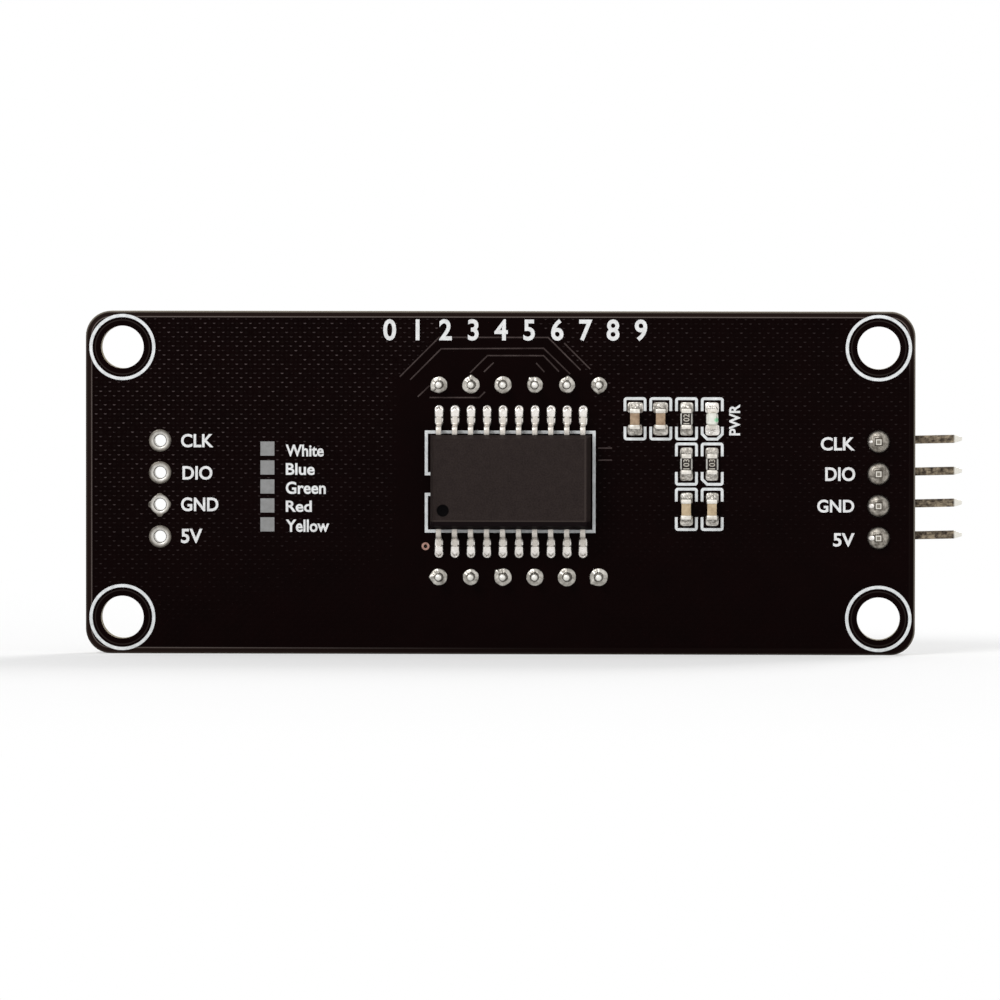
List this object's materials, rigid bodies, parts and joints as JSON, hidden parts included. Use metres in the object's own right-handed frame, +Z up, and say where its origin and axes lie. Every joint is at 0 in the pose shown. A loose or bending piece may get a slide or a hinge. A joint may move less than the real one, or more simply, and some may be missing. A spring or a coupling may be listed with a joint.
{
  "type": "seven segment display module",
  "caption": "Numeric display module: seven segment clock display on a dark circuit board, with a driver chip, small parts and a side pin header behind.",
  "frame": {"origin": "centre of the four mounting holes, on the front face of the circuit board", "axes": "+X along the board, away from the pin header; -Y the way the digits face, +Y towards the chip side; +Z up as the digits are read"},
  "size_m": [0.0696, 0.012, 0.0272],
  "materials": {
    "solder_mask": "very dark brown solder mask, satin, over hatched copper",
    "white_print": "white printed ink, matte",
    "tinned_copper": "tinned copper, satin",
    "bare_copper": "thin bare copper ring",
    "chip_resin": "dark moulded resin, fine matte grain",
    "tinned_leads": "matte tin plating",
    "solder": "solder, bright in places and frosted in others",
    "header_plastic": "black moulded nylon",
    "pin_plating": "plated pins, bright, a little warm",
    "display_plastic": "off-white moulded plastic",
    "black_face": "black printed face, satin",
    "light_resin": "milky cast resin",
    "carrier_laminate": "glass-fibre laminate",
    "die": "light-emitting die",
    "potting_resin": "cast potting resin, glossy",
    "display_pin_tin": "tinned pins",
    "capacitor_ceramic": "tan ceramic",
    "tinned_ends": "tinned end, bright",
    "resistor_ceramic": "white ceramic",
    "resistor_glaze": "dark glaze",
    "light_base": "pale laminate",
    "light_lens": "clear pale green resin"
  },
  "bodies": {
    "root": {"circuit_board": "solder_mask", "rear_print": "white_print", "front_print": "white_print", "spare_lands": "tinned_copper", "via_land": "bare_copper", "driver_body": "chip_resin", "driver_leads_upper": "tinned_leads", "driver_leads_lower": "tinned_leads", "driver_solder": "solder", "header_solder": "solder", "display_solder": "solder", "small_part_solder": "solder", "header_block": "header_plastic", "header_pin_clk": "pin_plating", "header_pin_dio": "pin_plating", "header_pin_gnd": "pin_plating", "header_pin_5v": "pin_plating", "display_shell": "display_plastic", "display_face": "black_face", "colon_lights": "light_resin", "light_bars_1": "light_resin", "light_bars_2": "light_resin", "light_bars_3": "light_resin", "light_bars_4": "light_resin", "carrier_board": "carrier_laminate", "led_dies": "die", "potting": "potting_resin", "display_pin_1": "display_pin_tin", "display_pin_2": "display_pin_tin", "display_pin_3": "display_pin_tin", "display_pin_4": "display_pin_tin", "display_pin_5": "display_pin_tin", "display_pin_6": "display_pin_tin", "display_pin_7": "display_pin_tin", "display_pin_8": "display_pin_tin", "display_pin_9": "display_pin_tin", "display_pin_10": "display_pin_tin", "display_pin_11": "display_pin_tin", "display_pin_12": "display_pin_tin", "capacitor_1": "capacitor_ceramic", "capacitor_2": "capacitor_ceramic", "capacitor_3": "capacitor_ceramic", "capacitor_4": "capacitor_ceramic", "capacitor_ends_1": "tinned_ends", "capacitor_ends_2": "tinned_ends", "capacitor_ends_3": "tinned_ends", "capacitor_ends_4": "tinned_ends", "resistor_ends_1": "tinned_ends", "resistor_ends_2": "tinned_ends", "resistor_ends_3": "tinned_ends", "power_light_ends": "tinned_ends", "resistor_1": "resistor_ceramic", "resistor_2": "resistor_ceramic", "resistor_3": "resistor_ceramic", "resistor_glaze_1": "resistor_glaze", "resistor_glaze_2": "resistor_glaze", "resistor_glaze_3": "resistor_glaze", "power_light_base": "light_base", "power_light_lens": "light_lens"}
  },
  "joints": []
}
